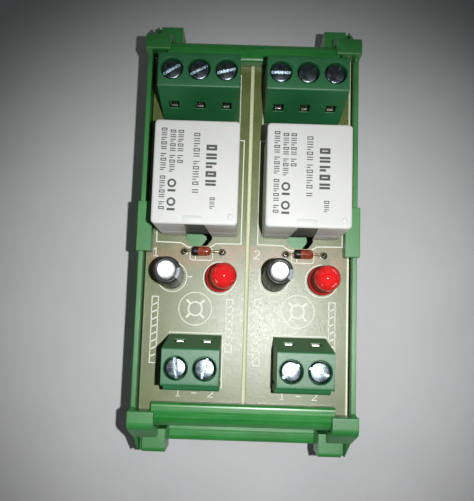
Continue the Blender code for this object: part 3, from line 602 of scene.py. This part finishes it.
def add_screw(tag, place, slot_turn):
    """Slotted pan head and shank, in the place of the plain screw."""
    head = bmesh.new()
    lathe(head, [(0, HEAD_TOP), (HEAD_R - 0.30, HEAD_TOP - 0.01), (HEAD_R - 0.13, HEAD_TOP - 0.06),
                 (HEAD_R - 0.03, HEAD_TOP - 0.17), (HEAD_R, HEAD_TOP - 0.3), (HEAD_R, HEAD_BOTTOM),
                 (SHANK_R, HEAD_BOTTOM), (SHANK_R, SHANK_END + 0.3), (SHANK_R - 0.3, SHANK_END),
                 (0, SHANK_END)], 48)
    slot = bmesh.new()
    cuboid(slot, (-3, -0.27, HEAD_TOP - 0.7), (3, 0.27, HEAD_TOP + 1))
    loft(slot, [[(x, y, z) for y, z in ((-0.27, HEAD_TOP - 0.08), (0.27, HEAD_TOP - 0.08),
                                        (0.36, HEAD_TOP + 0.1), (-0.36, HEAD_TOP + 0.1))]
                for x in (-3, 3)])
    add_piece(f"screw_head_{tag}", carved(head, slot), [SCREW],
              body=f"screw_{tag}", stands_for=[f"clamp_screw_{tag}"], at=place,
              turn=Matrix.Rotation(radians(slot_turn), 4, "Z"), smooth=40)


def dress_terminals():
    for name, facts in TERMINALS.items():
        add_terminal(name)
        stem = name.replace("_terminal", "")
        for letter, slot_turn in zip("abc", facts["slots"]):
            low, high = box_mm(f"clamp_screw_{stem}{letter}")
            middle = (low + high) / 2
            add_screw(f"{stem}{letter}", (middle.x, middle.y, BOARD_TOP), slot_turn)
            paint_node(f"clamp_cage_{stem}{letter}", CAGE)
            paint_node(f"contact_bar_{stem}{letter}", TIN)


# ---------------------------------------------------------------- relays

def add_relay_case(key):
    """Case with rounded edges, a parting line, a recess at its coil end and a moulded tab; a dark
    sheet in the recess is painted shade.
    """
    low, high = box_mm(f"relay_cover_{key}")
    centre = (low + high) / 2
    half_x, half_y = (high.x - low.x) / 2, (high.y - low.y) / 2
    base, top = low.z - BOARD_TOP, high.z - BOARD_TOP
    wall, seam = 0.8, 5.6

    def ring(z, inset):
        outline = rounded(rectangle(half_x - inset, half_y - inset, 0.7 - inset / 2), 5)
        return [(a, b, z) for a, b in outline]

    rings = [ring(top - wall, wall), ring(base, wall), ring(base, 0.0), ring(seam - 0.16, 0.0),
             ring(seam - 0.10, 0.10), ring(seam + 0.10, 0.10), ring(seam + 0.16, 0.0)]
    rings += [ring(top - 0.4 + 0.4 * sin(radians(a)), 0.4 - 0.4 * cos(radians(a)))
              for a in (0, 22, 45, 68, 90)]
    case = bmesh.new()
    loft(case, rings)
    cut = bmesh.new()
    recess = [[(x, y, z) for x, z in ((-2.6, base - 1), (2.6, base - 1), (1.75, top - 0.6),
                                      (-1.75, top - 0.6))]
              for y in (-half_y - 1, -half_y + 0.5)]
    loft(cut, recess)
    case = carved(case, cut)
    add_piece(f"relay_case_{key}", case, [CASE],
              stands_for=[f"relay_cover_{key}"], at=(centre.x, centre.y, BOARD_TOP), smooth=35)

    tab = bmesh.new()
    outline = rounded(rectangle(1.85, 0.55, 0.2), 3)
    middle = (-0.3, -half_y + 1.0)
    crown = [(middle[0] + a, middle[1] + b, top + 0.035)
             for a, b in rounded(rectangle(1.75, 0.45, 0.15), 3)]
    loft(tab, along_z(outline, top - 0.2, top - 0.02, middle) + [crown])
    nib = (half_x - 1.3, -half_y + 1.5)
    loft(tab, [[(nib[0] + a, nib[1] + b, z) for a, b in circle(r, 24)]
               for z, r in ((top - 0.2, 0.5), (top + 0.03, 0.5), (top + 0.05, 0.42))])
    add_piece(f"relay_tab_{key}", tab, [CASE], at=(centre.x, centre.y, BOARD_TOP))

    # A thin dark sheet over the recess's back wall: painted shade in the recess.
    recess_shade_sheet = bmesh.new()
    loft(recess_shade_sheet, [[(x, y, z) for x, z in ((-2.45, base + 0.1), (2.45, base + 0.1),
                                               (1.62, top - 0.75), (-1.62, top - 0.75))]
                       for y in (-half_y + 0.45, -half_y + 0.52)])
    add_piece(f"relay_recess_shade_{key}", recess_shade_sheet, [RECESS_SHADE],
              at=(centre.x, centre.y, BOARD_TOP))
    add_relay_print(key, centre, top)


def add_marks(bm, x, start, end, tall, line, z):
    """A column of meaningless marks the size of print, from y start down to y end."""
    wide = 0.55 * tall
    y, count = start, 0
    while y - wide > end:
        half = tall / 2 - line / 2
        left, right = y - line / 2, y - wide + line / 2
        if count % 3 == 0:
            corners = [(x - half, left), (x + half, left), (x + half, right), (x - half, right)]
            ribbon(bm, corners, line, z, closed=True)
        else:
            ribbon(bm, [(x - tall / 2, left), (x + tall / 2, left)], line, z)
            reach = tall / 2 if count % 3 == 1 else 0.1 * tall
            ribbon(bm, [(x - tall / 2, right), (x + reach, right)], line, z)
        y -= wide + (0.3 if count % 5 != 4 else 0.75) * tall
        count += 1


def add_relay_print(key, centre, top):
    """Generic printing: columns of plain marks where a maker's lines would stand."""
    z = top + 0.004
    bm = bmesh.new()
    columns = (
        (-5.9, 7.9, 0.1, 1.0, 0.17), (-5.9, -0.9, -7.4, 1.0, 0.17), (-4.3, 7.6, -0.2, 1.0, 0.17),
        (-2.9, 7.6, 0.8, 1.0, 0.17), (0.0, 7.1, -4.0, 1.1, 0.17), (2.7, 5.0, -3.0, 1.9, 0.42),
        (3.1, -4.6, -7.2, 0.9, 0.15),
    )
    for x, start, end, tall, line in columns:
        add_marks(bm, x, start, end, tall, line, z)
    for y in (-2.2, -5.6):
        ribbon(bm, arc((-4.2, y), 0.62, 0, 348, 24), 0.34, z, closed=True)
        ribbon(bm, [(-4.9, y - 1.35), (-3.5, y - 1.35)], 0.42, z)
    add_piece(f"relay_print_{key}", bm, [PRINT], at=(centre.x, centre.y, BOARD_TOP))


def dress_relays():
    for key in "12":
        add_relay_case(key)
        paint_node(f"relay_base_{key}", BASE)
        paint_node(f"relay_coil_{key}", WINDING)
        soften_shading(f"relay_coil_{key}")
        for node in (f"relay_yoke_{key}", f"relay_armature_{key}"):
            paint_node(node, STEEL)
        for node in (f"contact_nc_{key}", f"contact_no_{key}"):
            paint_node(node, SILVER)


# ---------------------------------------------------------------- small parts

def leaning(angles):
    return Matrix.Rotation(radians(angles[1]), 4, "Y") @ Matrix.Rotation(radians(angles[0]), 4, "X")


def add_capacitor(key, place, lean):
    """Radial can in a black sleeve with a grey stripe and a bare top."""
    stripe_middle, stripe_half = radians(-15), radians(24)

    def paint(segment, angle):
        if not 4 <= segment <= 19:
            return 1
        away = (angle - stripe_middle + pi) % (2 * pi) - pi
        return 2 if abs(away) < stripe_half else 0

    profile = [(0, 10.78), (1.0, 10.78), (1.55, 10.78), (1.70, 10.84), (1.80, 10.93),
               (1.95, 10.99), (2.15, 11.0), (2.33, 10.95), (2.45, 10.83), (2.5, 10.66),
               (2.5, 6.0), (2.5, 1.75), (2.46, 1.60), (2.34, 1.42), (2.28, 1.25), (2.34, 1.08),
               (2.46, 0.92), (2.5, 0.78), (2.5, 0.25), (2.42, 0.08), (2.2, 0.0), (1.9, 0.0),
               (1.8, 0.12), (0, 0.12)]
    can = bmesh.new()
    lathe(can, profile, 64, paint)
    x, y = place
    add_piece(f"capacitor_can_{key}", can, [SLEEVE, ALUMINIUM, STRIPE],
              stands_for=[f"capacitor_{key}"], at=(x, y, BOARD_TOP + 0.8), turn=leaning(lean))
    marks = bmesh.new()
    for dz in (9.2, 6.9, 4.6):
        points = arc((0, 0), 2.5, -15 - 9, -15 + 9, 4)
        loft(marks, [[(a * f, b * f, z) for f, z in ((0.99, dz), (0.99, dz + 0.5),
                                                     (1.006, dz + 0.5), (1.006, dz))]
                     for a, b in points])
    add_piece(f"capacitor_marks_{key}", marks, [SLEEVE],
              at=(x, y, BOARD_TOP + 0.8), turn=leaning(lean))
    leads = bmesh.new()
    for dx in (-1.0, 1.0):
        tube(leads, [(dx, 0, z) for z in (LEAD_END, LEAD_INSIDE, 0.4, 1.0)], 0.26)
    add_piece(f"capacitor_leads_{key}", leads, [TIN], at=(x, y, BOARD_TOP))


def add_led(key, place, lean):
    """Domed red lens with its flange, on two leads."""
    dome = [(2.5 * cos(radians(a)), 6.1 + 2.5 * sin(radians(a))) for a in range(84, -1, -6)]
    profile = [(0, 8.6)] + dome + [(2.5, 3.5), (2.5, 1.12), (2.56, 1.04), (2.8, 1.0), (2.88, 0.93),
                                   (2.9, 0.85), (2.9, 0.1), (2.82, 0.0), (0, 0)]
    lens = bmesh.new()
    wall_start = len(dome)
    # The wall and flange take the darker red of painted shade.
    lathe(lens, profile, 64, lambda segment, angle: int(segment >= wall_start))
    x, y = place
    add_piece(f"led_lens_{key}", lens, [EPOXY, RED_SIDE_SHADED], stands_for=[f"led_{key}"],
              at=(x, y, BOARD_TOP + 0.9), turn=leaning(lean))
    leads = bmesh.new()
    for dx in (-1.27, 1.27):
        tube(leads, [(dx, 0, z) for z in (LEAD_END, LEAD_INSIDE, 0.4, 1.2)], 0.25)
    add_piece(f"led_leads_{key}", leads, [TIN], at=(x, y, BOARD_TOP))


def add_diode(key, centre):
    """Glass diode with a black cathode band, lying on bent leads that end in solder."""
    half, height = 3.81, 1.3
    profile = [(0, 1.98), (0.42, 1.95), (0.70, 1.84), (0.86, 1.66), (0.93, 1.42), (0.95, 1.1),
               (0.95, -0.55), (0.95, -0.56), (0.95, -1.25), (0.95, -1.26), (0.93, -1.45),
               (0.86, -1.68), (0.70, -1.86), (0.42, -1.96), (0, -1.98)]

    def paint(segment, _angle):
        return int(6 <= segment < 12)

    glass = bmesh.new()
    lathe(glass, profile, 32, paint)
    x, y = centre
    add_piece(f"diode_body_{key}", glass, [GLASS, BAND],
              stands_for=[f"diode_{key}"], at=(x + DIODE_BODY_X, y, BOARD_TOP + height),
              turn=Matrix.Rotation(pi / 2, 4, "Y"))
    leads = bmesh.new()
    for side, start in ((-1, DIODE_BODY_X - 1.9), (1, DIODE_BODY_X + 1.9)):
        bend = [(side * (half - 0.7 + 0.7 * sin(radians(a))), 0,
                 height - 0.7 + 0.7 * cos(radians(a))) for a in (0, 18, 36, 54, 72, 90)]
        route = [(start, 0, height), (side * (half - 1.1), 0, height + 0.06)]
        tail = [(side * half, 0, LEAD_INSIDE), (side * half, 0, LEAD_END)]
        tube(leads, route + bend + tail, 0.25, 12)
    add_piece(f"diode_leads_{key}", leads, [DULL_LEAD],
              at=(x, y, BOARD_TOP))
    joints = bmesh.new()
    for side in (-1, 1):
        at = (side * half, 0)
        loft(joints, [[(at[0] + a, at[1] + b, z) for a, b in circle(r, 28)]
                      for z, r in ((0.005, 0.78), (0.05, 0.74), (0.10, 0.55), (0.2, 0.38),
                                   (0.34, 0.29))])
    add_piece(f"diode_solder_{key}", joints, [SOLDER], at=(x, y, BOARD_TOP))


def dress_small_parts():
    for key in "12":
        can_lean, led_lean = LEANS[key]
        channel = channel_x(key)
        add_capacitor(key, (channel + CAPACITOR_AT[0], CAPACITOR_AT[1]), can_lean)
        add_led(key, (channel + LED_AT[0], LED_AT[1]), led_lean)
        add_diode(key, (channel + DIODE_AT[0], DIODE_AT[1]))


# ---------------------------------------------------------------- board print

DIGITS = {
    "1": [[(-0.25, 0.3), (0.05, 0.5), (0.05, -0.5)], [(-0.25, -0.5), (0.35, -0.5)]],
    "2": [[(-0.32, 0.32), (-0.15, 0.5), (0.2, 0.5), (0.35, 0.28), (0.3, 0.05), (-0.35, -0.5),
           (0.38, -0.5)]],
    "3": [[(-0.3, 0.4), (-0.1, 0.5), (0.22, 0.46), (0.32, 0.22), (0.05, 0.02), (0.35, -0.2),
           (0.25, -0.46), (-0.1, -0.5), (-0.35, -0.38)]],
    "-": [[(-0.35, 0.0), (0.35, 0.0)]],
    "+": [[(-0.35, 0.0), (0.35, 0.0)], [(0.0, -0.35), (0.0, 0.35)]],
}


def channel_x(key):
    """Middle line of a channel, from its output terminal."""
    low, high = box_mm(f"output_terminal_{key}")
    return (low.x + high.x) / 2


def add_silk(key):
    """White component outlines, pole numbers and polarity signs of one channel."""
    bm = bmesh.new()
    z, line, thin = BOARD_TOP + 0.006, 0.22, 0.17
    cx = channel_x(key)

    def stroke(points, width=line, closed=False):
        ribbon(bm, [(cx + a, b) for a, b in points], width, z, closed)

    def sign(character, centre, height, width=thin, turn=0.0):
        for path in DIGITS[character]:
            turned = [(a * cos(turn) - b * sin(turn), a * sin(turn) + b * cos(turn))
                      for a, b in path]
            stroke([(centre[0] + a * height, centre[1] + b * height) for a, b in turned], width)

    # Relay outline with its jog round the diode.
    side = [(2.1, -3.95), (3.5, -3.1), (8.5, -3.0), (8.5, 18.4)]
    outline = [(-a, b) for a, b in reversed(side)] + side
    stroke([(RELAY_X + a, b) for a, b in outline], closed=True)
    # Diode outline with its bar, the LED ring in two arcs, and the capacitor ring.
    stroke([(a + 0.9, b - 5.3) for a, b in rounded(rectangle(2.25, 1.2, 0.5), 3)], thin,
           closed=True)
    stroke([(-0.25, -4.15), (-0.25, -6.45)], thin)
    stroke(arc(LED_AT, 3.25, -140, 190, 44), thin)
    stroke(arc(LED_AT, 3.25, 192, 218, 5), thin)
    stroke(arc(CAPACITOR_AT, 2.95, 0, 355, 48), thin, closed=True)
    sign("+", (-7.6, -8.2), 1.3)
    sign("-", (-1.2, -9.9), 1.3)
    # Target ring with four ticks, between the small parts and the coil terminal.
    ring = (0.1, -16.2)
    stroke(arc(ring, 3.25, 0, 354, 54), thin, closed=True)
    stroke(arc(ring, 1.35, 0, 345, 26), 0.3, closed=True)
    for k in range(4):
        a = radians(45 + 90 * k)
        stroke([(ring[0] + 1.5 * cos(a), ring[1] + 1.5 * sin(a)),
                (ring[0] + 2.5 * cos(a), ring[1] + 2.5 * sin(a))], 0.42)
    # Plain write-on strips beside the coil terminal.
    for x, low, high, count in ((-7.9, -27.0, -14.0, 9), (6.9, -24.5, -14.2, 7)):
        wide = 0.62
        stroke([(x - wide, low), (x + wide, low), (x + wide, high), (x - wide, high)],
               0.2, closed=True)
        for k in range(1, count):
            y = low + (high - low) * k / count
            stroke([(x - wide, y - 0.3), (x + wide, y + 0.3)], 0.26)
    # Terminal outlines and pole numbers.
    coil_low, coil_high = box_mm(f"coil_terminal_{key}")
    left, right = coil_low.x - cx - 0.2, coil_high.x - cx + 0.2
    stroke([(left, -20.95), (left, -31.45), (right, -31.45), (right, -20.95)], thin, closed=True)
    for character, dx in (("1", -3.2), ("-", 0.0), ("2", 3.2)):
        sign(character, (0.5 + dx, -32.6), 1.35)
    stroke([(-7.8, 21.75), (-7.8, 32.3), (7.8, 32.3), (7.8, 21.75)], thin, closed=True)
    for character, dx in (("1", -5.08), ("2", 0.0), ("3", 5.08)):
        sign(character, (dx, 33.2), 1.0)
    sign("1" if key == "1" else "2", (-8.3, -5.1), 1.6, 0.2)
    add_piece(f"silk_print_{key}", bm, [SILK])


def dress_board():
    paint_node("circuit_board", MASK)
    for key in "12":
        add_silk(key)


# ---------------------------------------------------------------- carrier

def dress_carrier():
    paint_node("carrier_profile", PROFILE)
    soften_shading("carrier_profile")
    for side in ("left", "right"):
        paint_node(f"end_cover_{side}", CARRIER)
        soften_shading(f"end_cover_{side}")
        paint_node(f"rail_latch_{side}", CARRIER)


# ---------------------------------------------------------------- stage

def aimed(at, target):
    """Matrix of a lamp at one point in millimetres that shines at another."""
    at, target = Vector(at) * MM, Vector(target) * MM
    return Matrix.Translation(at) @ (at - target).to_track_quat("Z", "Y").to_matrix().to_4x4()


def add_stage():
    """Pale table, a lamp near the camera, low panels that light the walls, and the camera."""
    floor = bmesh.new()
    reach, thick = 700.0, 2.0
    cuboid(floor, (-reach, -reach, -thick), (reach, reach, 0.0))
    bmesh.ops.scale(floor, vec=(MM, MM, MM), verts=floor.verts[:])
    mesh = bpy.data.meshes.new("table_top")
    floor.to_mesh(mesh)
    floor.free()
    mesh.materials.append(PAPER)
    table = bpy.data.objects.new("table_top", mesh)
    bpy.context.scene.collection.objects.link(table)

    lamp = bpy.data.lights.new("near_lamp", "SPOT")
    lamp.energy, lamp.shadow_soft_size = LAMP_WATTS, LAMP_RADIUS * MM
    lamp.spot_size, lamp.spot_blend = LAMP_CONE, 1.0
    lamp.use_nodes = True
    falloff = lamp.node_tree.nodes.new("ShaderNodeLightFalloff")
    falloff.inputs["Strength"].default_value = 1.0
    lamp.node_tree.links.new(falloff.outputs["Linear"],
                             lamp.node_tree.nodes["Emission"].inputs["Strength"])
    spot = bpy.data.objects.new("near_lamp", lamp)
    bpy.context.scene.collection.objects.link(spot)
    spot.matrix_world = aimed(LAMP_AT, LAMP_AIM)

    for turn in WALL_LAMP_TURNS:
        wash = bpy.data.lights.new(f"wall_lamp_{turn}", "AREA")
        wash.energy, wash.shape = WALL_LAMP_WATTS, "RECTANGLE"
        wash.size, wash.size_y = (side * MM for side in WALL_LAMP_SIZE)
        panel = bpy.data.objects.new(f"wall_lamp_{turn}", wash)
        panel.visible_camera = False
        bpy.context.scene.collection.objects.link(panel)
        away, up = WALL_LAMP_AT
        at = (away * cos(radians(turn)), away * sin(radians(turn)), up)
        panel.matrix_world = aimed(at, WALL_LAMP_AIM)

    world = bpy.data.worlds.new("studio")
    world.use_nodes = True
    background = world.node_tree.nodes["Background"]
    background.inputs["Color"].default_value = (0.86, 0.88, 0.92, 1.0)
    background.inputs["Strength"].default_value = SKY_STRENGTH
    bpy.context.scene.world = world
    bpy.context.scene.view_settings.view_transform = "Standard"

    camera = bpy.data.cameras.new("camera")
    camera.lens, camera.sensor_width = CAMERA_LENS, CAMERA_SENSOR
    camera.clip_start, camera.clip_end = 0.005, 10.0
    eye = bpy.data.objects.new("camera", camera)
    eye.location = Vector(CAMERA_AT) * MM
    eye.rotation_euler = CAMERA_TURN
    bpy.context.scene.collection.objects.link(eye)
    bpy.context.scene.camera = eye


dress_carrier()
dress_board()
dress_terminals()
dress_relays()
dress_small_parts()
add_stage()
